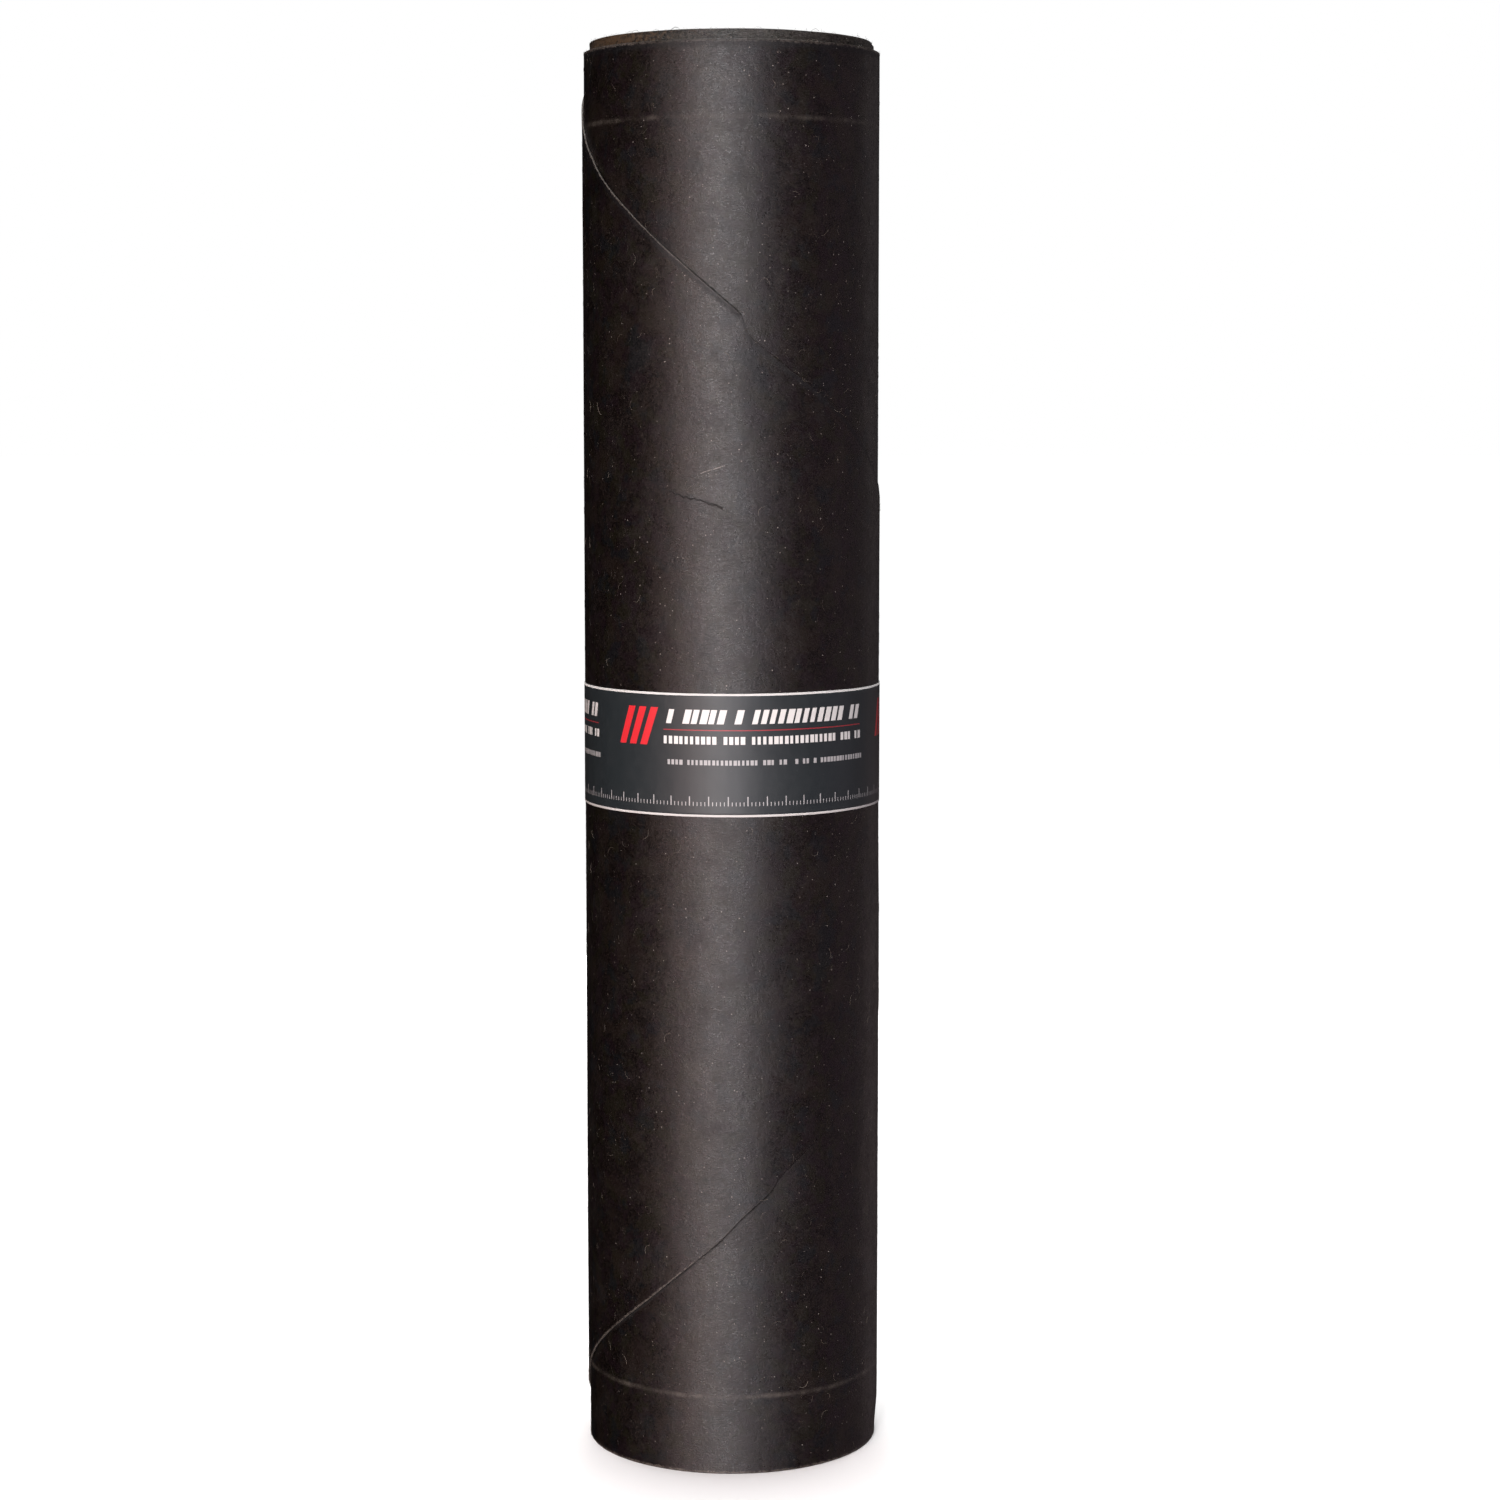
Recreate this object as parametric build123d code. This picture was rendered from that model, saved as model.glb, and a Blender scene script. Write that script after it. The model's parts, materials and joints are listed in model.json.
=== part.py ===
from build123d import *
from math import acos, ceil, degrees, pi, radians, sqrt, tan
import os

# A roll of heavy roofing felt, standing on its end. One long sheet of felt is wound on itself round an open
# bore. Its last turn ends in a long pointed tail, cut on the slant from both edges, and a printed paper band
# goes round the middle over the tail's tip.
# Millimetres, +Z up along the roll's axis, origin at the middle of the bottom end. The front is -Y. A bearing
# is an angle round the roll in degrees, 0 at the front and growing towards +X.

# The sheet
sheet_width = 914.4  # 36 in, the height of the standing roll
sheet_length = 21945.6  # 72 ft, which with that width is 216 sq ft
sheet_thickness = 1.27  # 0.05 in, which is also the pitch of the turns

# The winding
bore_diameter = 50.0
loose_turns = 4  # the outermost turns, which have slid down until they stand on the floor
slide = 6.5  # how far the inner turns stand above the loose ones, at both ends
edge_stagger = 0.4  # how far the edges of neighbouring inner turns stand in and out
edge_wear = 0.4  # how far the corners of the loose turns' upper edges are worn down

# The pointed tail of the last turn
tail_slope = 40.2  # degrees between each slanted cut and the edge of the sheet
tip_width = 50.0  # the blunt end of the tail
tip_height = 461.0  # of the middle of that end
tip_bearing = 186.0

# The paper band
band_width = 78.5
band_middle = 468.4  # the height of its middle above the floor
band_thickness = 0.25
band_gap = 0.1  # between the paper and the felt
lap_length = 40.0  # where one end of the paper is glued over the other
lap_start = 17.0  # degrees past the tail's tip

# Worked out from the sizes above
bore_radius = bore_diameter / 2
outer_radius = sqrt(bore_radius**2 + sheet_length * sheet_thickness / pi)
loose_inner_radius = outer_radius - (loose_turns + 0.25) * sheet_thickness
inner_turns = round((loose_inner_radius - bore_radius) / sheet_thickness)
tail_pitch = 2 * pi * outer_radius * tan(radians(tail_slope))  # rise of a slanted cut in one turn

# The loose turns are a true spiral, drawn as half turns about two axes half a thickness apart, so that each
# half runs smoothly into the next. The step where the sheet ends is at -X until the last lines of this file.
near_axis = sheet_thickness / 4  # the X of the axis of the halves on the -Y side
far_axis = -near_axis  # and of those on the +Y side, which are the later half of each turn
near_radius = outer_radius - sheet_thickness / 2
far_radius = near_radius + sheet_thickness / 2


def turned(outline, axis_x, side, arc):
    """A solid turned from (radius, height) points, from +X towards +Y where side is 1, or -Y where it is -1."""
    corners = [(axis_x + radius, 0, height) for radius, height in outline]
    return revolve(make_face(Polyline(*corners, close=True)), Axis((axis_x, 0, 0), (0, 0, side)), arc)


def inner_body():
    """The inner turns round the bore. Each crease on their ends is where two turns meet."""
    pitch = (loose_inner_radius - bore_radius) / inner_turns
    bottom = [(bore_radius + turn * pitch, slide - edge_stagger * (turn % 2)) for turn in range(inner_turns + 1)]
    top = [(radius, height + sheet_width) for radius, height in reversed(bottom)]
    return turned(bottom + top, 0, 1, 360)


def loose_half(axis_x, radius, side):
    """Half of every loose turn. Their lower edges are pressed flat on the floor. The upper ones are worn to a
    low ridge each, which leaves a crease between two turns."""
    top = []
    for turn in range(loose_turns):
        crease = radius - turn * sheet_thickness
        top += [(crease, sheet_width - edge_wear), (crease - sheet_thickness / 2, sheet_width)]
    return turned([*top, (bore_radius, sheet_width), (bore_radius, 0), (radius, 0)], axis_x, side, 180)


def loose_body():
    """The loose turns as a tube, with a round hole for the inner ones."""
    halves = loose_half(near_axis, near_radius, -1) + loose_half(far_axis, far_radius, 1)
    return halves - Cylinder(loose_inner_radius, 3 * sheet_width)


def tail_cut(half, side):
    """What is cut from one half turn above the tail (side 1) or below it (side -1), half 0 being the last.

    A block that stands on the turn below, as tall as the sheet, is kept where it is beyond the slanted cut.
    """
    clear = 5.0  # how far the cutter reaches past the roll and past the half turn
    later = half % 2 == 0
    axis_x = far_axis if later else near_axis
    under = (far_radius if later else near_radius) - sheet_thickness * (1 + half // 2)
    start = 0 if later else 180
    inner_arc = CenterArc((axis_x, 0), under, start, 180)
    outer_arc = CenterArc((0, 0), outer_radius + clear, start, 180)
    ends = [Line(inner_arc @ end, outer_arc @ end) for end in (0, 1)]
    block = extrude(make_face([inner_arc, outer_arc, *ends]), sheet_width)

    # The slanted cut leaves the tip's corner and rises (or falls) as it goes back round the roll, clockwise.
    spare_turn = clear / outer_radius / (2 * pi)
    turns_back = half / 2 - spare_turn
    middle = tip_width / 2 + tail_pitch * turns_back + sheet_width / 2
    path = Helix(tail_pitch, tail_pitch * (0.5 + 2 * spare_turn), outer_radius, lefthand=True)
    section = Pos(outer_radius, 0, 0) * Plane.XZ * Rectangle(4 * clear, sheet_width)
    beyond = sweep(section, path, is_frenet=True)
    if side < 0:
        beyond = mirror(beyond, Plane.XY)
    return block & Pos(0, 0, tip_height + side * middle) * Rot(0, 0, 180 - 360 * turns_back) * beyond


def tail_cuts():
    """Both slanted cuts, half turn by half turn from the tip until they run off the edges of the sheet."""
    cuts = []
    for side, room in ((1, sheet_width - tip_height), (-1, tip_height)):
        halves = ceil((room - tip_width / 2) / (tail_pitch / 2))
        cuts += [tail_cut(half, side) for half in range(halves)]
    return cuts


def band_outline(lift):
    """The face inside a tight wrap that lies this far off the felt. From the tail's tip it drops straight
    to where it touches the turn below."""
    radius = near_radius + lift
    touch = 180 + degrees(acos(radius / (radius + sheet_thickness)))
    near = CenterArc((near_axis, 0), radius, touch, 360 - touch)
    far = CenterArc((far_axis, 0), far_radius + lift, 0, 180)
    return make_face([near, far, Line(far @ 1, near @ 0)])


def label_band():
    """The paper band, with the lap where its ends are glued."""
    outside = band_gap + band_thickness
    paper = band_outline(outside) - band_outline(band_gap)
    lap_radius = near_radius + outside
    lap_turn = degrees(lap_length / lap_radius)
    arcs = [CenterArc((near_axis, 0), lap_radius + lift, 180 + lap_start, lap_turn) for lift in (0, band_thickness)]
    lap = make_face([*arcs, *(Line(arcs[0] @ end, arcs[1] @ end) for end in (0, 1))])
    return Pos(0, 0, band_middle - band_width / 2) * extrude(paper + lap, band_width)


to_bearing = Rot(0, 0, tip_bearing - 270)  # turns the tail's tip from -X to its bearing
parts = {
    "felt_roll": to_bearing * (inner_body() + (loose_body() - tail_cuts())),
    "label_band": to_bearing * label_band(),
}
os.makedirs("parts", exist_ok=True)
for name, part in parts.items():
    export_step(part, f"parts/{name}.step")
    print(name, len(part.solids()), "solid", len(part.faces()), "faces", round(part.volume / 1000), "cm3")
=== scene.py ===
import json
import math
import bpy
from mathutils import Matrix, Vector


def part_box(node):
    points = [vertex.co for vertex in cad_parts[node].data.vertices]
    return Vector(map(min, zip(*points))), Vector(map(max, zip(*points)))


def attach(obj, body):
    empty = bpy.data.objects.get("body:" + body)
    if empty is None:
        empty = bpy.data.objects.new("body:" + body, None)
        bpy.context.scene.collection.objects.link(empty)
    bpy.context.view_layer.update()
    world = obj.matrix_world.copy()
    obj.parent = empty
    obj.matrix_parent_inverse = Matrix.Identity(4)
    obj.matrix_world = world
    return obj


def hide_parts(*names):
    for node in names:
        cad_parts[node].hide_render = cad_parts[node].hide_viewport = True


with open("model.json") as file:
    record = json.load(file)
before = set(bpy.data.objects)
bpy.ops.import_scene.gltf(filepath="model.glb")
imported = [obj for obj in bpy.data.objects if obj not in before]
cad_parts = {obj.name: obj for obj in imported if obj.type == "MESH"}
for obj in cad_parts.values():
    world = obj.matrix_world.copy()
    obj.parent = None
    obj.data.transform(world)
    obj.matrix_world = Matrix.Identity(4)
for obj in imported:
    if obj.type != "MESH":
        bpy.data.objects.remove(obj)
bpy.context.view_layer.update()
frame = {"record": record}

# A roll of heavy roofing felt standing on its end, with a printed paper band round its middle.
# Metres. A bearing is an angle round the roll in degrees, 0 at the front (-Y) and growing towards +X.

rollLow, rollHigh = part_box("felt_roll")
bandLow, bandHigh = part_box("label_band")
bore = next(mount for mount in frame["record"]["mounts"] if mount["name"] == "bore")
boreRadius = bore["dims"]["r_mm"] / 1000
sheetWidth = bore["dims"]["length_mm"] / 1000
slide = rollHigh.z - sheetWidth  # how far the inner turns stand above the loose outer ones
outerRadius = max(rollHigh.x - rollLow.x, rollHigh.y - rollLow.y) / 2
feltPitch = 0.00127  # from one turn to the next
tipBearing = 186.0  # where the sheet ends
tipMiddle = 0.461  # the height of the middle of that end
print("frame loaded: roll", round(outerRadius * 2, 4), "across and", round(rollHigh.z, 4), "tall")


# A value inside a node tree, so that a sum of nodes is written as a sum
class Field:
    def __init__(self, tree, socket):
        self.tree = tree
        self.socket = socket

    def maths(self, operation, *others):
        return self.tree.add("ShaderNodeMath", {"operation": operation}, [self, *others])

    def __add__(self, other):
        return self.maths("ADD", other)

    def __sub__(self, other):
        return self.maths("SUBTRACT", other)

    def __rsub__(self, other):
        return self.maths("MULTIPLY_ADD", -1.0, other)

    def __mul__(self, other):
        return self.maths("MULTIPLY", other)

    def __truediv__(self, other):
        return self.maths("DIVIDE", other)

    def __pow__(self, other):
        return self.maths("POWER", other)

    def __lt__(self, other):
        return self.maths("LESS_THAN", other)

    def __gt__(self, other):
        return self.maths("GREATER_THAN", other)

    def __abs__(self):
        return self.maths("ABSOLUTE")

    __radd__ = __add__
    __rmul__ = __mul__

    # 0 up to one value and 1 from another, with a soft slope between them
    def ramp(self, start, end):
        limits = {"Value": self, "From Min": start, "From Max": end}
        return self.tree.add("ShaderNodeMapRange", {"interpolation_type": "SMOOTHSTEP"}, limits)

    # 1 between the two middle values and 0 outside the outer ones
    def window(self, start, full, fall, end):
        return self.ramp(start, full) * (1.0 - self.ramp(fall, end))

    def parts(self):
        return [self.tree.add("ShaderNodeSeparateXYZ", None, [self], axis) for axis in range(3)]


# A shader or geometry tree with one method for any node: its type, its settings, then its sockets
class Tree:
    def __init__(self, group):
        self.group = group

    def add(self, kind, settings=None, inputs=None, output=0):
        node = self.group.nodes.new(kind)
        place = len(self.group.nodes)
        node.location = (200 * (place % 14), -260 * (place // 14))
        for name, value in (settings or {}).items():
            setattr(node, name, value)
        pairs = inputs.items() if isinstance(inputs, dict) else enumerate(inputs or [])
        for key, value in pairs:
            if isinstance(value, Field):
                self.group.links.new(value.socket, node.inputs[key])
            else:
                node.inputs[key].default_value = value
        return Field(self, node.outputs[output])

    def vector(self, x, y, z=0.0):
        return self.add("ShaderNodeCombineXYZ", None, [x, y, z])

    def scaled(self, vector, factors):
        return self.add("ShaderNodeVectorMath", {"operation": "MULTIPLY"}, [vector, factors])

    def noise(self, vector, scale, detail=2.0, roughness=0.5, distortion=0.0):
        sockets = {"Scale": scale, "Detail": detail, "Roughness": roughness, "Distortion": distortion}
        return self.add("ShaderNodeTexNoise", None, {"Vector": vector, **sockets})

    # One colour or another, by a mask
    def mixed(self, mask, first, second):
        first, second = [c if isinstance(c, Field) else (*c, 1.0) for c in (first, second)]
        return self.add("ShaderNodeMix", {"data_type": "RGBA"}, {0: mask, 6: first, 7: second}, 2)


# Geometry node trees

def newGeometryTree(name, inputs):
    group = bpy.data.node_groups.new(name, "GeometryNodeTree")
    group.is_modifier = True
    group.interface.new_socket("Geometry", in_out="OUTPUT", socket_type="NodeSocketGeometry")
    kinds = {
        int: "NodeSocketInt",
        float: "NodeSocketFloat",
        bpy.types.Material: "NodeSocketMaterial",
        bpy.types.Object: "NodeSocketObject",
    }
    for label, value in inputs.items():
        group.interface.new_socket(label, in_out="INPUT", socket_type=kinds[type(value)])
    tree = Tree(group)
    entry = group.nodes.new("NodeGroupInput")
    return tree, {label: Field(tree, entry.outputs[label]) for label in inputs}


def finishGeometryTree(tree, geometry, material):
    geometry = tree.add("GeometryNodeRealizeInstances", None, [geometry])
    geometry = tree.add("GeometryNodeSetMaterial", None, {"Geometry": geometry, "Material": material})
    leave = tree.group.nodes.new("NodeGroupOutput")
    tree.group.links.new(geometry.socket, leave.inputs[0])


# The tree's result as a plain mesh object
def growPiece(name, tree, inputs):
    piece = bpy.data.objects.new(name, bpy.data.meshes.new(name))
    bpy.context.scene.collection.objects.link(piece)
    modifier = piece.modifiers.new(name, "NODES")
    modifier.node_group = tree.group
    for item in tree.group.interface.items_tree:
        if item.in_out == "INPUT":
            modifier[item.identifier] = inputs[item.name]
    graph = bpy.context.evaluated_depsgraph_get()
    mesh = bpy.data.meshes.new_from_object(
        piece.evaluated_get(graph), preserve_all_data_layers=True, depsgraph=graph
    )
    piece.modifiers.clear()
    piece.data = mesh
    mesh.name = name
    print(name, "has", sum(len(face.vertices) - 2 for face in mesh.polygons), "triangles")
    return piece


def stored(tree, geometry, name, value, kind="FLOAT"):
    settings = {"data_type": kind, "domain": "POINT"}
    return tree.add(
        "GeometryNodeStoreNamedAttribute", settings, {"Geometry": geometry, "Name": name, "Value": value}
    )


def named(tree, name):
    return tree.add("GeometryNodeInputNamedAttribute", {"data_type": "FLOAT"}, {"Name": name})


def randomValue(tree, low, high, seed):
    return tree.add("FunctionNodeRandomValue", {"data_type": "FLOAT"}, {2: low, 3: high, 8: seed}, 1)


def swept(tree, curve, profile):
    sockets = {"Curve": curve, "Profile Curve": profile, "Fill Caps": True}
    return tree.add("GeometryNodeCurveToMesh", None, sockets)


# The point on the roll at a bearing, a radius and a height
def onRoll(tree, bearing, radius, height):
    angle = bearing * (math.pi / 180)
    return tree.vector(angle.maths("SINE") * radius, -1.0 * angle.maths("COSINE") * radius, height)


# The felt sheet, wound from the bore to its pointed tail

feltSheet = {
    "Thickness": 0.00118,  # a little under the pitch, so thin air lines show between the turns
    "Inner Steps": 96,  # per turn
    "Outer Steps": 200,
    "Outer Turns": 2.05,  # the last turns, which have a finer mesh because their faces show
    "Outer Rows": 33,  # up each face of the sheet
    "Dent Depth": 0.0005,
    "Cut Lift": 0.004,  # how far a cut edge stands off, times a noise that is mostly under 0.2
    "Flare": 0.0018,  # how far the last turns stand off low on the right
}

sheetOutline = {
    "Loose Turns": 4.2,
    "Tip Width": 0.0503,  # the blunt end of the tail
    "Upper Rise": 0.836,  # the slope of the cut above the tail
    "Lower Rise": 0.853,  # and of the cut below it
    "Upper Hook": 0.009,  # a short dip of the upper cut on the right of the front
    "Lower Hook": 0.004,  # and a short rise of the lower one
    "Lower Bow": 0.0055,  # how far the lower cut sags across the front
    "Edge Waver": 0.0007,
}

# What each point of a wound strip knows: turns from the start, which face, and how far up in two ways
stripPlaces = ("turn", "side", "row", "share")


def woundStrip(tree, firstTurn, lastTurn, steps, rows, crowding):
    index = tree.add("GeometryNodeInputIndex")
    straight = tree.add("GeometryNodeCurvePrimitiveLine", None, {"End": (1.0, 0.0, 0.0)})
    count = (lastTurn - firstTurn) * steps + 1.0
    spine = tree.add("GeometryNodeResampleCurve", {"mode": "COUNT"}, {"Curve": straight, "Count": count})
    along = tree.add("GeometryNodeSplineParameter")
    spine = stored(tree, spine, "turn", firstTurn + along * (lastTurn - firstTurn))

    # The ring runs up the outer face and down the inner one
    ring = tree.add("GeometryNodeResampleCurve", {"mode": "COUNT"}, {"Curve": straight, "Count": rows * 2})
    ring = tree.add("GeometryNodeSetSplineCyclic", None, {"Geometry": ring, "Cyclic": True})
    inner = index > rows - 0.5
    place = index + inner * (2.0 * rows - 1.0 - 2.0 * index)
    ring = stored(tree, ring, "side", 1.0 - 2.0 * inner)
    ring = stored(tree, ring, "row", 2.0 * place / (rows - 1.0) - 1.0)
    strip = swept(tree, spine, ring)

    # Rows are crowded towards the two edges
    row = named(tree, "row")
    crowded = 1.0 - (1.0 - abs(row)) ** crowding
    share = 0.5 + 0.5 * row.maths("SIGN") * crowded
    return stored(tree, strip, "share", share)


def finishStrip(tree, strip, material):
    for name in stripPlaces:
        strip = tree.add("GeometryNodeRemoveAttribute", None, {"Geometry": strip, "Name": name})
    finishGeometryTree(tree, strip, material)


# Where the sheet's two edges are, at a place given in turns before the tip. They run straight until a
# slanted cut takes over.
def sheetEdges(tree, size, turnsLeft):
    bearing = size["Tip Bearing"] - 360.0 * turnsLeft
    arc = turnsLeft * size["Outer Radius"] * (2 * math.pi)  # from the tip, along the outside of the roll
    waver = tree.noise(tree.vector(turnsLeft * 6.0, 0.5), 1.0, 3.0) - 0.5
    topHook = size["Upper Hook"] * bearing.window(3.2, 6.5, 8.0, 52.0)
    topCut = size["Tip Middle"] + size["Tip Width"] / 2.0 + size["Upper Rise"] * arc - topHook
    lowHook = size["Lower Hook"] * bearing.window(15.0, 19.0, 22.0, 60.0)
    bow = bearing.window(-68.0, -30.0, 30.0, 60.0) * (1.0 - 0.62 * bearing.ramp(-6.0, 6.0))
    lowCut = size["Tip Middle"] - size["Tip Width"] / 2.0 - size["Lower Rise"] * arc
    lowCut = lowCut + lowHook - size["Lower Bow"] * bow
    lift = size["Slide"] * turnsLeft.ramp(size["Loose Turns"] - 0.3, size["Loose Turns"] + 0.3)
    top = topCut.maths("MINIMUM", size["Sheet Width"]) + lift + waver * size["Edge Waver"]
    low = lowCut.maths("MAXIMUM", 0.0) + lift + abs(waver) * size["Edge Waver"]
    return bearing, arc, lift, top, low


def woundSheetTree(inputs):
    tree, size = newGeometryTree("woundSheet", inputs)
    coreEnd = size["Turns"] - size["Outer Turns"]
    core = woundStrip(tree, 0.0, coreEnd, size["Inner Steps"], 4, 18.0)
    wrap = woundStrip(tree, coreEnd, size["Turns"], size["Outer Steps"], size["Outer Rows"], 3.0)
    sheet = tree.add("GeometryNodeJoinGeometry")
    for part in (core, wrap):
        tree.group.links.new(part.socket, sheet.socket.node.inputs[0])

    turn, side, row, share = [named(tree, name) for name in stripPlaces]
    turnsLeft = size["Turns"] - turn
    bearing, arc, lift, top, low = sheetEdges(tree, size, turnsLeft)
    angle = bearing * (math.pi / 180)
    across, ahead = angle.maths("SINE"), angle.maths("COSINE")
    height = low + (top - low) * share

    # The faces: a spiral with shallow dents, and corners worn round
    edge = abs(row) > 0.999
    outerFace = size["Outer Radius"] + size["Pitch"] * (0.25 - turnsLeft)
    place = tree.vector(across * outerFace, ahead * outerFace, height)
    dent = (tree.noise(place, 9.0, 2.0) - 0.5) * (outerFace / size["Outer Radius"]) ** 2.0
    looseness = (tree.noise(tree.vector(turn * 2.3, 7.5), 1.0, 2.0) - 0.5) * 0.00025
    face = side * size["Thickness"] * 0.5 * (1.0 - 0.6 * edge)
    radius = outerFace - size["Pitch"] * 0.5 + face + dent * size["Dent Depth"] + looseness

    # Where the tail lies on the turn below, its cut edges stand off a little in places. On the right of the
    # front they are pressed flat, so the cuts hardly show there.
    belowTop, aboveLow = top - height, height - low
    fromEdge = belowTop.maths("MINIMUM", aboveLow)
    onTail = turnsLeft.window(0.0, 0.05, 0.80, 0.84)
    proud = (tree.noise(place, 22.0, 1.0) - 0.42).maths("MAXIMUM", 0.0)
    standing = onTail * proud * (1.0 - bearing.window(0.0, 12.0, 90.0, 120.0))
    radius = radius + standing * (1.0 - fromEdge.ramp(0.0, 0.012)) * size["Cut Lift"]
    pressedTop = bearing.window(-8.0, 16.0, 32.0, 56.0) * (1.0 - belowTop.ramp(0.0, 0.09))
    pressedLow = bearing.window(6.0, 32.0, 80.0, 110.0) * (1.0 - aboveLow.ramp(0.0, 0.09))
    radius = radius - (pressedTop + pressedLow) * onTail * size["Pitch"] * 0.95

    # Low on the right the tail and the last whole turn stand off the turns below
    flareTurn = turnsLeft.maths("FRACT").window(0.02, 0.18, 0.36, 0.5) * (turnsLeft < 1.6)
    flareHeight = height.window(0.0, 0.03, 0.28, 0.42)
    radius = radius + flareTurn * flareHeight * size["Flare"]

    # The cuts show pale fibres, partly real and partly a painted highlight: paler on the left of the front,
    # where the cut edges catch the light, and losing them towards the right
    litPaleTop = 1.0 - 0.85 * bearing.ramp(-24.0, -10.0)
    litPaleLow = 1.0 - 0.6 * bearing.ramp(-22.0, -4.0)
    fray = litPaleLow + (belowTop < aboveLow) * (litPaleTop - litPaleLow)
    fray = fray * (1.0 - onTail * bearing.window(5.0, 18.0, 80.0, 110.0))

    position = tree.vector(across * radius, -1.0 * ahead * radius, height)
    sheet = tree.add("GeometryNodeSetPosition", None, {"Geometry": sheet, "Position": position})
    sheet = stored(tree, sheet, "edge", edge)
    sheet = stored(tree, sheet, "fromEdge", fromEdge)
    # the pale-fibre strength, which also carries the painted highlight on the cuts
    sheet = stored(tree, sheet, "fray", fray)
    sheet = stored(tree, sheet, "onSheet", tree.vector(arc, height - lift, turnsLeft), "FLOAT_VECTOR")
    finishStrip(tree, sheet, size["Material"])
    return tree


rollSizes = {
    "Pitch": feltPitch,
    "Outer Radius": outerRadius,
    "Sheet Width": sheetWidth,
    "Slide": slide,
    "Tip Bearing": tipBearing,
    "Tip Middle": tipMiddle,
}


def makeFeltRoll(material):
    turns = (outerRadius + feltPitch / 4 - feltPitch - boreRadius) / feltPitch
    inputs = {**feltSheet, **sheetOutline, **rollSizes, "Turns": turns, "Material": material}
    roll = growPiece("wound_felt", woundSheetTree(inputs), inputs)
    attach(roll, "root")
    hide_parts("felt_roll")
    return roll


# Loose fibres: short bent hairs lying on the face of the felt, and standing out along its edges

fibres = {
    "Face Fibres": 7000,
    "Rim Fibres": 420,  # on each of three rims: the outer turn's two and the inner turns' upper one
    "Cut Fibres": 260,  # on each slanted cut
    "Shortest": 0.0014,
    "Longest": 0.0075,
    "Fibre Radius": 0.0085,  # as a share of the length
    "Seed": 7,
}


# One lot of fibres. Each lies round the roll, turned by up to the spin and tipped by up to the stand.
def laidFibres(tree, size, fibre, count, seed, bearing, radius, height, keep, spin, stand):
    seed = size["Seed"] + float(seed)
    position = onRoll(tree, bearing, radius, height)
    points = tree.add("GeometryNodePoints", None, {"Count": count, "Position": position})
    facing = tree.vector(math.pi / 2, 0.0, bearing * (math.pi / 180))
    facing = tree.add("FunctionNodeEulerToRotation", None, [facing])
    halfTurn = math.pi * (randomValue(tree, 0.0, 1.0, seed + 1.0) > 0.5)
    turned = halfTurn + randomValue(tree, -spin, spin, seed + 2.0)
    lean = tree.vector(0.0, randomValue(tree, -stand, stand, seed + 3.0), turned)
    lean = tree.add("FunctionNodeEulerToRotation", None, [lean])
    rotation = tree.add("FunctionNodeRotateRotation", {"rotation_space": "LOCAL"}, [facing, lean])
    luck = randomValue(tree, 0.0, 1.0, seed + 4.0)
    length = size["Shortest"] + luck ** 2.0 * (size["Longest"] - size["Shortest"])
    scale = tree.vector(length, length * randomValue(tree, 0.5, 1.7, seed + 5.0), length)
    laid = tree.add(
        "GeometryNodeInstanceOnPoints",
        None,
        {"Points": points, "Selection": keep, "Instance": fibre, "Rotation": rotation, "Scale": scale},
    )
    tint = {"Geometry": laid, "Name": "tint", "Value": randomValue(tree, 0.0, 1.0, seed + 6.0)}
    return tree.add("GeometryNodeStoreNamedAttribute", {"data_type": "FLOAT", "domain": "INSTANCE"}, tint)


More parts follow.
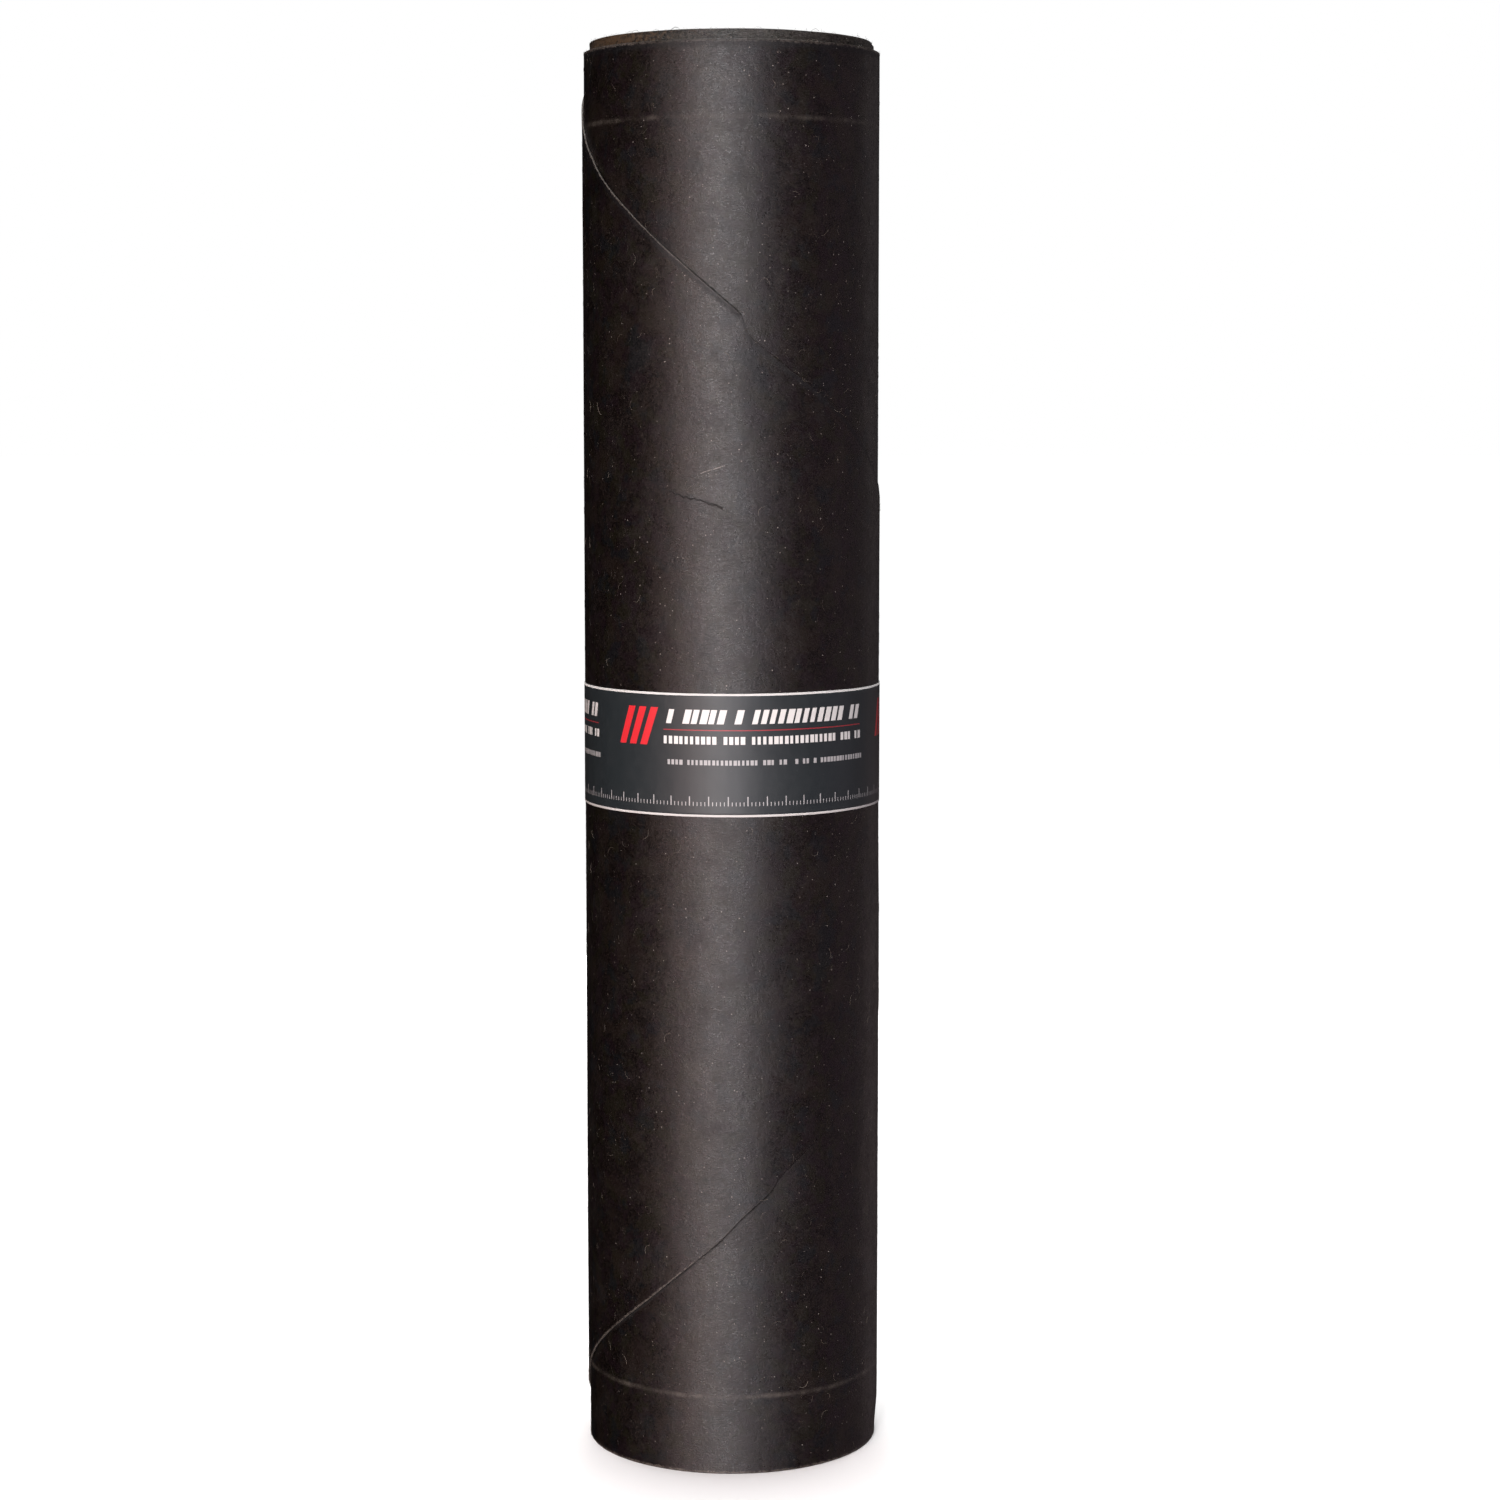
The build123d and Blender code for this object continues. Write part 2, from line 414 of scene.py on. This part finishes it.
def fibreTree(inputs):
    tree, size = newGeometryTree("fibres", inputs)
    bend = {"Start": (-0.5, 0.0, 0.0), "Middle": (0.1, 0.35, 0.05), "End": (0.5, -0.05, 0.0)}
    line = tree.add("GeometryNodeCurveQuadraticBezier", None, {"Resolution": 3, **bend})
    ring = {"Resolution": 3, "Radius": size["Fibre Radius"]}
    fibre = swept(tree, line, tree.add("GeometryNodeCurvePrimitiveCircle", None, ring))
    felt = tree.add("GeometryNodeObjectInfo", None, {"Object": size["Felt"]}, "Geometry")

    # On the faces: found by looking inwards from outside the roll
    seed = size["Seed"] + 0.0
    bearing = randomValue(tree, -180.0, 180.0, seed + 11.0)
    height = randomValue(tree, 0.003, size["Sheet Width"] - 0.002, seed + 12.0)
    away = size["Outer Radius"] * 1.1
    ray = {
        "Target Geometry": felt,
        "Source Position": onRoll(tree, bearing, away, height),
        "Ray Direction": onRoll(tree, bearing, -1.0, 0.0),
        "Ray Length": 0.03,
    }
    distance = tree.add("GeometryNodeRaycast", None, ray, "Hit Distance")
    hit = tree.add("GeometryNodeRaycast", None, ray, "Is Hit")
    bandReach = size["Band Width"] * 0.5 + 0.003
    offBand = (abs(height - size["Band Middle"]) > bandReach) * hit
    face = away - distance + 0.00002
    onFaces = laidFibres(
        tree, size, fibre, size["Face Fibres"], 20, bearing, face, height, offBand, math.pi, 0.012
    )
    groups = [onFaces]

    # Along the edges: first turn and last turn before the tip, then whether it is the upper edge
    edges = {
        "Rim Fibres": ((0.83, 1.83, True), (0.83, 1.83, False), (4.55, 5.55, True)),
        "Cut Fibres": ((0.10, 0.82, True), (0.10, 0.82, False)),
    }
    for count, stretches in edges.items():
        for first, last, upper in stretches:
            number = 40 + 10 * len(groups)
            turnsLeft = randomValue(tree, first, last, seed + float(number + 8))
            bearing, _, _, top, low = sheetEdges(tree, size, turnsLeft)
            height = top - 0.0003 if upper else low + 0.0004
            height = height + randomValue(tree, -0.0004, 0.0003, seed + 9.0)
            face = size["Outer Radius"] + size["Pitch"] * (0.25 - turnsLeft) - 0.00012
            offBand = abs(height - size["Band Middle"]) > bandReach
            onEdge = laidFibres(
                tree, size, fibre, size[count], number, bearing, face, height, offBand, 0.6, 0.16
            )
            groups.append(onEdge)
    joined = tree.add("GeometryNodeJoinGeometry")
    for group in groups:
        tree.group.links.new(group.socket, joined.socket.node.inputs[0])

    # None goes under the floor
    joined = tree.add("GeometryNodeRealizeInstances", None, [joined])
    x, y, z = tree.add("GeometryNodeInputPosition").parts()
    position = tree.vector(x, y, z.maths("MAXIMUM", 0.0002))
    joined = tree.add("GeometryNodeSetPosition", None, {"Geometry": joined, "Position": position})
    finishGeometryTree(tree, joined, size["Material"])
    return tree


def makeFibres(material, felt):
    band = {"Band Middle": (bandLow.z + bandHigh.z) / 2, "Band Width": bandHigh.z - bandLow.z}
    inputs = {**fibres, **sheetOutline, **rollSizes, **band, "Felt": felt, "Material": material}
    piece = growPiece("felt_fibres", fibreTree(inputs), inputs)
    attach(piece, "root")
    return piece


# The paper band: one strip that starts past the tail's tip, goes once round and is glued down over its own
# start

paperBand = {
    "Steps": 260,  # round the roll
    "Rows": 12,  # up each face
    "Paper": 0.00025,
    "Gap": 0.00012,  # under the paper
    "Lap Start": 17.0,  # degrees past the tip
    "Lap Length": 0.040,
    "Edge Waver": 0.0005,
    "Edge Lift": 0.0005,
}


def paperBandTree(inputs):
    tree, size = newGeometryTree("paperBand", inputs)
    lapTurn = size["Lap Length"] / size["Outer Radius"] / (2 * math.pi)
    start = size["Lap Start"] / 360.0
    sheet = woundStrip(tree, start, start + 1.0 + lapTurn, size["Steps"], size["Rows"], 1.5)
    turn, side, row, share = [named(tree, name) for name in stripPlaces]

    # Turns are counted from the tip. Past it the paper drops straight to the turn below.
    past = turn - (turn > 1.0)
    feltFace = size["Outer Radius"] + size["Pitch"] * (0.25 - 1.0 + past) + size["Gap"]
    lowFace = size["Outer Radius"] - size["Pitch"] * 0.75 + size["Gap"]
    touch = (lowFace / (lowFace + size["Pitch"])).maths("ARCCOSINE")
    bridge = lowFace / (touch - past * (2 * math.pi)).maths("MAXIMUM", 0.0).maths("COSINE")
    face = feltFace + (turn > 1.0) * (feltFace.maths("MAXIMUM", bridge) - feltFace)
    onLap = (turn - 1.0 - start).ramp(-0.004, 0.001)
    radius = face + onLap * size["Paper"] * 1.05 + size["Paper"] * (0.5 + 0.5 * side)

    # The edges waver, and stand off the felt a little here and there
    arc = turn * size["Outer Radius"] * (2 * math.pi)
    along = tree.vector(turn * 9.0, share * 0.6)
    waver = (tree.noise(along, 1.0, 2.0) - 0.5) * size["Edge Waver"]
    height = size["Bottom"] + size["Width"] * share + waver
    liftNoise = (tree.noise(tree.vector(turn * 7.0, row * 0.8, 4.0), 1.0, 2.0) - 0.45).maths("MAXIMUM", 0.0)
    freeEnd = (turn - 1.0 - start - lapTurn).ramp(-0.008, 0.0) * 0.25
    radius = radius + (abs(row) ** 6.0 + freeEnd) * liftNoise * size["Edge Lift"]

    position = onRoll(tree, size["Tip Bearing"] + 360.0 * turn, radius, height)
    sheet = tree.add("GeometryNodeSetPosition", None, {"Geometry": sheet, "Position": position})
    sheet = stored(tree, sheet, "onPaper", tree.vector(arc, size["Width"] * share, side), "FLOAT_VECTOR")
    finishStrip(tree, sheet, size["Material"])
    return tree


def makePaperBand(material):
    inputs = {
        **paperBand,
        **rollSizes,
        "Bottom": bandLow.z,
        "Width": bandHigh.z - bandLow.z,
        "Material": material,
    }
    band = growPiece("paper_band", paperBandTree(inputs), inputs)
    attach(band, "root")
    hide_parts("label_band")
    return band


# Materials

def newMaterial(name):
    material = bpy.data.materials.new(name)
    material.use_nodes = True
    material.node_tree.nodes.clear()
    return material, Tree(material.node_tree)


def finishMaterial(tree, shader):
    leave = tree.group.nodes.new("ShaderNodeOutputMaterial")
    tree.group.links.new(shader.socket, leave.inputs["Surface"])


feltLook = {
    "darkest": (0.0016, 0.0009, 0.0008),
    "usual": (0.0029, 0.0017, 0.0015),
    "brown": (0.0140, 0.0092, 0.0070),
    # broad patches of hue: colour, scale, where it starts and where it is full, how much
    "patches": {
        "olive": ((0.0062, 0.0056, 0.0026), 75.0, 0.50, 0.58, 0.6),
        "plum": ((0.0056, 0.0026, 0.0040), 95.0, 0.50, 0.58, 0.6),
        "slate": ((0.0022, 0.0034, 0.0044), 60.0, 0.54, 0.62, 0.6),
        "fawn": ((0.0090, 0.0060, 0.0044), 40.0, 0.53, 0.60, 0.5),
    },
    "cutEdge": (0.076, 0.067, 0.058),
    "warmDust": (0.046, 0.024, 0.0085),
    "greyDust": (0.0170, 0.0150, 0.0115),
    "pressed": (0.0012, 0.0013, 0.0018),  # painted shade for the dark strip under the upper rim
    "shadow": (0.0003, 0.0002, 0.0002),
    "specks": (0.22, 0.20, 0.18),
    # cells per metre, share of them left empty, least radius and how much more, in cells
    "speckSizes": {
        "large": (240.0, 0.965, 0.04, 0.07),
        "small": (620.0, 0.950, 0.10, 0.16),
    },
    "layLine": (0.058, 0.051, 0.043),
    "upperLayLine": 0.8672,  # up the sheet
    "lowerLayLine": 0.0512,
    "layLineWidth": 0.0025,
    "roughness": 0.40,
    "shine": 0.42,
    "bumpStrength": 0.6,
    "bumpDepth": 0.0009,
}


# From one end to the other of each mark, as metres from the tip and up the sheet, and its width
frontMarks = {
    "scratch": ((0.3360, 0.6463), (0.3205, 0.6511), 0.00042),
    "crease": ((0.3568, 0.6345), (0.3215, 0.6250), 0.0007),
}


# A short stroke on the unrolled sheet, 1 on its line and 0 beside it
def stroke(arc, up, start, end, width, waver):
    run = math.dist(start, end)
    toward = ((end[0] - start[0]) / run, (end[1] - start[1]) / run)
    east, north = arc - start[0], up - start[1]
    along = east * toward[0] + north * toward[1]
    aside = abs(east * toward[1] - north * toward[0] + waver)
    return (1.0 - aside.ramp(width * 0.3, width)) * (along > 0.0) * (along < run)


def makeFeltMaterial():
    material, tree = newMaterial("bitumenFelt")
    place = tree.add("ShaderNodeTexCoord", None, None, "Object")
    onSheet = tree.add("ShaderNodeAttribute", {"attribute_name": "onSheet"}, None, "Vector")
    edge, fromEdge, fray = [
        tree.add("ShaderNodeAttribute", {"attribute_name": name}, None, "Fac")
        for name in ("edge", "fromEdge", "fray")
    ]
    arc, up, depth = onSheet.parts()

    # Mottling: broad stains, then finger-sized clouds, then clumps of fibre and a fine grain
    stains = tree.noise(place, 9.0, 3.0, 0.55)
    clouds = tree.noise(tree.scaled(place, (1.0, 1.0, 0.7)), 60.0, 4.0, 0.6)
    clumps = tree.noise(place, 520.0, 3.0, 0.7)
    grain = tree.noise(place, 1300.0, 2.0, 0.6)
    blotches = tree.noise(tree.scaled(onSheet, (1.0, 1.4, 0.0)), 130.0, 4.0, 0.65, 0.3)
    fibreMarks = tree.noise(tree.scaled(onSheet, (0.6, 2.4, 0.0)), 620.0, 3.0, 0.75, 0.4)
    cracks = tree.noise(tree.scaled(onSheet, (0.7, 2.6, 0.0)), 420.0, 1.0, 0.5, 0.3).ramp(0.66, 0.76)
    cloudy = (stains * 0.5 + clouds * 0.5).ramp(0.36, 0.62)
    colour = tree.mixed(cloudy, feltLook["darkest"], feltLook["usual"])
    colour = tree.mixed((clumps * 0.5 + grain * 0.5).ramp(0.47, 0.68) * 0.85, colour, feltLook["brown"])
    for number, (patch, scale, start, full, share) in enumerate(feltLook["patches"].values()):
        spot = tree.add("ShaderNodeVectorMath", {"operation": "ADD"}, [place, (3.0 * number, 1.7, 0.4)])
        colour = tree.mixed(tree.noise(spot, scale, 4.0, 0.6).ramp(start, full) * share, colour, patch)

    # Pale specks pressed into the face
    for scale, rarity, least, spread in feltLook["speckSizes"].values():
        settings = {"Vector": place, "Scale": scale}
        cells = tree.add("ShaderNodeTexVoronoi", {"feature": "F1"}, settings)
        luck, size, pale = tree.add("ShaderNodeTexVoronoi", {"feature": "F1"}, settings, "Color").parts()
        specks = (luck > rarity) * (cells < least + spread * size)
        colour = tree.mixed(specks * (0.25 + 0.7 * pale), colour, feltLook["specks"])

    # Two chalky lay lines. The upper one is broken up more and fades at the front, and the lower one runs
    # higher on the right.
    upper = up > sheetWidth / 2
    lineHeight = feltLook["lowerLayLine"] + upper * (feltLook["upperLayLine"] - feltLook["lowerLayLine"])
    waver = (tree.noise(onSheet, 24.0, 2.0) - 0.5) * 0.0022
    waver = waver + 0.0035 * (1.0 - upper) * (1.0 - arc.ramp(0.19, 0.31))
    line = 1.0 - abs(up - lineHeight - waver).ramp(0.0, feltLook["layLineWidth"])
    broken = tree.noise(tree.scaled(onSheet, (1.0, 0.4, 0.0)), 45.0, 5.0, 0.75)
    line = line * (0.2 - 0.1 * upper + broken.ramp(0.42, 0.66) * (0.7 - 0.1 * upper))
    x = place.parts()[0]
    line = line * (1.0 - 0.6 * upper * x.window(-0.055, -0.03, 0.01, 0.03))
    colour = tree.mixed(line, colour, feltLook["layLine"])

    # The painted shadow lines that the tail's cut edges cast on the turn below, and a duller strip under
    # the lower cut on the right of the front
    shape = {**sheetOutline, **rollSizes}
    bearing, _, _, tailTop, tailLow = sheetEdges(tree, shape, depth - 1.0)
    onBelow = (depth > 1.0) * (depth < 1.8)
    lowGap, topGap = tailLow - up, up - tailTop
    lowShade = (lowGap > -0.0008) * (1.0 - lowGap.ramp(0.0006, 0.0026))
    lowShade = lowShade * bearing.window(-62.0, -40.0, 14.0, 24.0)
    topShade = (topGap > -0.0008) * (1.0 - topGap.ramp(0.0003, 0.0014))
    topShade = topShade * bearing.window(-40.0, -16.0, 2.0, 7.0)
    cutShade = (lowShade + topShade) * onBelow * (0.45 + 0.55 * clumps.ramp(0.40, 0.55))
    duller = (lowGap > 0.0) * (1.0 - lowGap.ramp(0.004, 0.034))
    duller = duller * bearing.window(0.0, 14.0, 24.0, 40.0) * onBelow

    # Painted shade in a dark strip under the upper rim, and dust on the turns that stand above the rest
    rimShade = fromEdge.window(0.0008, 0.0016, 0.003, 0.0065) * upper
    colour = tree.mixed(rimShade * 0.7, colour, feltLook["pressed"])
    dusty = (depth > 3.9) * (up - sheetWidth).ramp(-0.012, -0.006)
    dustPatch = stains * 0.4 + clumps * 0.6 - 0.16 * x.ramp(-0.02, 0.09)
    dustHue = tree.mixed(x.ramp(-0.06, 0.0), feltLook["warmDust"], feltLook["greyDust"])
    colour = tree.mixed(dusty * dustPatch.ramp(0.43, 0.56), colour, dustHue)
    colour = tree.mixed(dusty * grain.ramp(0.56, 0.68) * 0.5, colour, feltLook["cutEdge"])
    colour = tree.mixed(cutShade, colour, feltLook["shadow"])

    # Frayed edges, worn widest on the upper rim and least on the inner turns. On the cuts their paleness
    # also carries a painted highlight, strongest on the left of the front.
    ragged = clumps.ramp(0.30, 0.62)
    onRim = (abs(up - sheetWidth) < 0.004) * (depth > 0.8) * (depth < 3.9)
    lowEdge = (1.0 - onRim) * (up < sheetWidth / 2) * fray.ramp(0.75, 1.0)
    wornWidth = 0.0006 + 0.0006 * onRim + 0.0005 * lowEdge
    rimWear = 1.0 - onRim * 0.7 * (1.0 - stains.ramp(0.40, 0.58))
    frayedAndGlinting = 1.0 - ((fromEdge - wornWidth * ragged) / wornWidth).ramp(0.0, 1.0)
    frayedAndGlinting = frayedAndGlinting * fray * (0.25 + 0.75 * ragged) * (1.0 - 0.8 * (depth > 3.9)) * rimWear

    # Each turn has a tone of its own on the ends
    turnTone = tree.noise(tree.vector(depth * 0.9, 3.0), 1.0, 2.0).ramp(0.36, 0.64)
    endFace = edge.ramp(0.3, 0.95) * (0.2 + 0.6 * turnTone)
    colour = tree.mixed(frayedAndGlinting.maths("MAXIMUM", endFace), colour, feltLook["cutEdge"])

    # A scratch, and a crease darkened with painted shade, on the front of the tail
    marksWaver = (tree.noise(onSheet, 160.0, 3.0) - 0.5) * 0.004
    scratch = stroke(arc, up, *frontMarks["scratch"], marksWaver * 0.3)
    crease = stroke(arc, up, *frontMarks["crease"], marksWaver) * blotches.ramp(0.32, 0.46)
    colour = tree.mixed(scratch * clumps.ramp(0.3, 0.55) * 0.62, colour, feltLook["specks"])
    # painted shade: the crease is darkened with the felt's darkest tone
    colour = tree.mixed(crease * 0.9, colour, feltLook["darkest"])

    # The sheen varies most from grain to grain, and no broad patch is much glossier than the rest
    mottle = 0.28 * (clumps - 0.5) + 0.42 * (clouds - 0.5) + 0.32 * (blotches - 0.5)
    fine = 0.55 * (grain - 0.5) + 0.34 * (fibreMarks - 0.5)
    rough = feltLook["roughness"] + mottle.maths("MAXIMUM", -0.05) + fine
    rough = rough + 0.2 * edge + 0.12 * rimShade + 0.14 * duller + 0.4 * cutShade
    rough = rough + 0.25 * crease + 0.15 * cracks
    height = fibreMarks * 0.4 + clumps * 0.18 + clouds * 0.8 + blotches * 0.36 + grain * 0.2
    height = height - crease * 0.4 - cracks * 0.12
    relief = {"Strength": feltLook["bumpStrength"], "Distance": feltLook["bumpDepth"], "Height": height}
    bump = tree.add("ShaderNodeBump", None, relief)
    surface = {
        "Base Color": colour,
        "Roughness": rough,
        "Normal": bump,
        "Specular IOR Level": feltLook["shine"],
    }
    shader = tree.add("ShaderNodeBsdfPrincipled", None, surface)
    finishMaterial(tree, shader)
    return material


fibreLook = {"dark": (0.012, 0.007, 0.005), "pale": (0.22, 0.19, 0.155), "paleShare": 0.3, "roughness": 0.5}


def makeFibreMaterial():
    material, tree = newMaterial("feltFibres")
    tint = tree.add("ShaderNodeAttribute", {"attribute_name": "tint"}, None, "Fac")
    pale = tint.ramp(1.0 - fibreLook["paleShare"], 1.0) ** 1.5
    colour = tree.mixed(pale, fibreLook["dark"], fibreLook["pale"])
    rough = fibreLook["roughness"] + 0.2 * (tint - 0.5)
    shader = tree.add("ShaderNodeBsdfPrincipled", None, {"Base Color": colour, "Roughness": rough})
    finishMaterial(tree, shader)
    return material


# A generic print that repeats round the band, in metres. Heights are from the band's lower edge.
bandLook = {
    "ground": (0.0130, 0.0178, 0.0200),
    "wornGround": (0.0200, 0.0248, 0.0265),
    "bare": (0.62, 0.62, 0.60),
    "ink": (0.60, 0.60, 0.58),
    "greyInk": (0.34, 0.34, 0.34),
    "red": (0.58, 0.020, 0.028),
    "margin": 0.0014,
    "repeat": 0.204,
    "firstRepeat": 0.208,  # along the paper from the tip
    # lowest, highest, length of a bar and its gap, slant, shortest share of a bar, seed
    "barRows": {
        "bold": (0.0592, 0.0682, 0.0056, 0.25, 0.52, 3.0),
        "medium": (0.0462, 0.0512, 0.0036, 0.0, 0.50, 11.0),
        "small": (0.0330, 0.0362, 0.0027, 0.0, 0.45, 17.0),
    },
    "barRoom": (0.040, 0.190),  # where the rows start and end in each repeat
    # lowest, highest, length of the row, length of a bar and its gap, share of the bar, slant
    "redBars": (0.0447, 0.0690, 0.026, 0.0088, 0.62, 0.35),
    "rule": (0.0549, 0.0555, 0.043, 0.186),  # lowest, highest, start, end
    "ruleRed": (0.28, 0.020, 0.028),
    "scale": (0.0070, 0.0095, 0.0130),  # foot, top of a short tick, top of a long one
    "tick": 0.0025,
}


def makePaperMaterial():
    material, tree = newMaterial("printedPaper")
    place = tree.add("ShaderNodeTexCoord", None, None, "Object")
    onPaper = tree.add("ShaderNodeAttribute", {"attribute_name": "onPaper"}, None, "Vector")
    arc, up, side = onPaper.parts()
    shifted = arc - bandLook["firstRepeat"]
    block = (shifted / bandLook["repeat"]).maths("FLOOR")
    along = shifted - block * bandLook["repeat"]

    # Rows of bars of unequal length
    masks = {}
    for name, (low, high, step, slant, shortest, seed) in bandLook["barRows"].items():
        reach = (along - (up - low) * slant) / step
        cell = reach.maths("FLOOR")
        random = tree.add("ShaderNodeTexWhiteNoise", {"noise_dimensions": "1D"}, {"W": cell + seed})
        bars = ((reach - cell) < shortest + random * (0.86 - shortest)) * (random > 0.14)
        first, last = bandLook["barRoom"]
        room = (cell > 0.5 + first / step) * (cell < last / step - 1.0)
        masks[name] = bars * room * (up > low) * (up < high)

    # Three slanted red bars, a red rule and a tick scale
    low, high, length, step, share, slant = bandLook["redBars"]
    lean = along - (up - 0.040) * slant - 0.006
    stripe = (lean / step).maths("FRACT") < share
    reds = stripe * (lean > 0.0) * (lean < length) * (up > low) * (up < high)
    low, high, first, last = bandLook["rule"]
    rule = (up > low) * (up < high) * (along > first) * (along < last)
    foot, shortTop, longTop = bandLook["scale"]
    fromTick = abs((arc / bandLook["tick"]).maths("FRACT") - 0.5)
    fromLong = abs((arc / bandLook["tick"] / 5.0).maths("FRACT") - 0.5) * 5.0
    ticks = (up > foot) * ((fromTick < 0.10) * (up < shortTop) + (fromLong < 0.14) * (up < longTop))
    width = bandHigh.z - bandLow.z
    margin = (up < bandLook["margin"]) + (up > width - bandLook["margin"])

    worn = tree.noise(place, 160.0, 4.0, 0.65)
    ground = tree.mixed(worn.ramp(0.35, 0.75) * 0.35, bandLook["ground"], bandLook["wornGround"])
    colour = tree.mixed(masks["bold"], ground, bandLook["ink"])
    colour = tree.mixed(masks["medium"], colour, bandLook["ink"])
    colour = tree.mixed((masks["small"] + ticks).maths("MINIMUM", 1.0), colour, bandLook["greyInk"])
    colour = tree.mixed(reds, colour, bandLook["red"])
    colour = tree.mixed(rule, colour, bandLook["ruleRed"])
    bare = (margin + (side < 0.0)).maths("MINIMUM", 1.0)
    colour = tree.mixed(bare, colour, bandLook["bare"])
    scuffs = tree.noise(tree.scaled(onPaper, (1.0, 4.0, 0.0)), 300.0, 4.0, 0.7).ramp(0.66, 0.78)
    colour = tree.mixed(scuffs * 0.25, colour, bandLook["greyInk"])

    rough = 0.48 + 0.16 * (worn - 0.5) + 0.2 * bare
    pulled = tree.noise(tree.scaled(onPaper, (1.0, 0.22, 0.0)), 90.0, 2.0)
    height = worn * 0.3 + pulled
    bump = tree.add("ShaderNodeBump", None, {"Strength": 0.35, "Distance": 0.0005, "Height": height})
    shader = tree.add(
        "ShaderNodeBsdfPrincipled", None, {"Base Color": colour, "Roughness": rough, "Normal": bump}
    )
    finishMaterial(tree, shader)
    return material


# The camera, the light and the floor

cameraView = {
    "distance": 2.136,  # in front of the roll's axis
    "height": 0.690,
    "tilt": 0.1065,  # radians below the horizon
    "turn": 0.0057,  # radians to the right
    "focalLength": 77.84,
}


def makeCamera():
    data = bpy.data.cameras.new("camera")
    data.sensor_width = 36
    data.lens = cameraView["focalLength"]
    camera = bpy.data.objects.new("camera", data)
    camera.location = (0, -cameraView["distance"], cameraView["height"])
    camera.rotation_euler = (math.pi / 2 - cameraView["tilt"], 0, -cameraView["turn"])
    bpy.context.scene.collection.objects.link(camera)
    bpy.context.scene.camera = camera


studio = {
    "floorColour": (0.87, 0.87, 0.865),
    "backdrop": 1.0,
    "ambient": 0.0006,
    "overhead": 3.7,
    # name: bearing, distance, height, width, length, power, colour
    "lights": {
        "farLeft": (-52.0, 1.9, 0.25, 0.22, 3.0, 1.8, (1.0, 0.82, 0.78)),
        "warmLeft": (-31.0, 1.9, 0.25, 0.22, 3.0, 17.5, (1.0, 0.65, 0.61)),
        "keyLeft": (-15.0, 1.9, 0.25, 0.22, 3.0, 16.5, (1.0, 0.96, 0.86)),
        "key": (-8.0, 1.9, 0.3, 0.22, 3.0, 29.0, (0.99, 0.89, 0.94)),
        "keyRight": (1.0, 1.9, 0.25, 0.22, 3.0, 8.6, (0.88, 0.95, 1.0)),
        "keyTop": (-10.0, 1.9, 1.2, 0.3, 1.2, 9.0, (0.94, 0.98, 1.0)),
        "right": (11.0, 1.9, 0.25, 0.22, 3.0, 6.8, (1.0, 0.84, 0.95)),
        "farRight": (40.0, 1.9, 0.25, 0.22, 3.0, 2.2, (1.0, 0.76, 0.82)),
        "rightFill": (90.0, 1.9, 0.25, 0.5, 3.0, 2.7, (1.0, 0.76, 0.92)),
        "rimTop": (134.0, 1.6, 0.9, 0.9, 1.0, 0.7, (1.0, 0.86, 0.88)),
        "rimLow": (134.0, 1.6, -0.2, 0.9, 1.0, 0.85, (1.0, 0.80, 0.81)),
        "back": (182.0, 1.9, 0.25, 0.4, 3.0, 16.0, (1.0, 0.95, 0.92)),
    },
}


def addAreaLight(name, bearing, distance, height, width, length, power, colour):
    data = bpy.data.lights.new(name, "AREA")
    data.shape = "RECTANGLE"
    data.size, data.size_y = width, length
    data.energy = power
    data.color = colour
    light = bpy.data.objects.new(name, data)
    angle = math.radians(bearing)
    light.location = (distance * math.sin(angle), -distance * math.cos(angle), height)
    light.rotation_euler = (math.pi / 2, 0, angle)
    light.visible_camera = False
    bpy.context.scene.collection.objects.link(light)


def makeStudio():
    bpy.context.scene.view_settings.view_transform = "Standard"
    for name, settings in studio["lights"].items():
        addAreaLight(name, *settings)

    sun = bpy.data.lights.new("overhead", "SUN")
    sun.energy = studio["overhead"]
    sun.angle = math.radians(25)
    overhead = bpy.data.objects.new("overhead", sun)
    overhead.rotation_euler = (math.radians(-6), 0, 0)
    bpy.context.scene.collection.objects.link(overhead)

    world = bpy.data.worlds.new("studio")
    world.use_nodes = True
    world.node_tree.nodes.clear()
    tree = Tree(world.node_tree)
    seen = tree.add("ShaderNodeLightPath", None, None, "Is Camera Ray")
    strength = studio["ambient"] + seen * (studio["backdrop"] - studio["ambient"])
    sky = tree.add("ShaderNodeBackground", None, {"Color": (1, 1, 1, 1), "Strength": strength})
    leave = world.node_tree.nodes.new("ShaderNodeOutputWorld")
    world.node_tree.links.new(sky.socket, leave.inputs["Surface"])
    bpy.context.scene.world = world

    mesh = bpy.data.meshes.new("floor")
    reach = 40.0
    corners = [(-reach, -reach, 0), (reach, -reach, 0), (reach, reach, 0), (-reach, reach, 0)]
    mesh.from_pydata(corners, [], [(0, 1, 2, 3)])
    floor = bpy.data.objects.new("floor", mesh)
    material, tree = newMaterial("paleFloor")
    finishMaterial(tree, tree.add("ShaderNodeBsdfDiffuse", None, {"Color": (*studio["floorColour"], 1.0)}))
    mesh.materials.append(material)
    bpy.context.scene.collection.objects.link(floor)
    floor.visible_diffuse = False
    floor.visible_glossy = False
    floor.visible_shadow = False


makeCamera()
makeStudio()
print("camera, light and floor are ready")
feltMaterial = makeFeltMaterial()
feltRoll = makeFeltRoll(feltMaterial)
print("felt roll is wound")
makeFibres(makeFibreMaterial(), feltRoll)
print("fibres are laid")
makePaperBand(makePaperMaterial())
print("paper band is on")
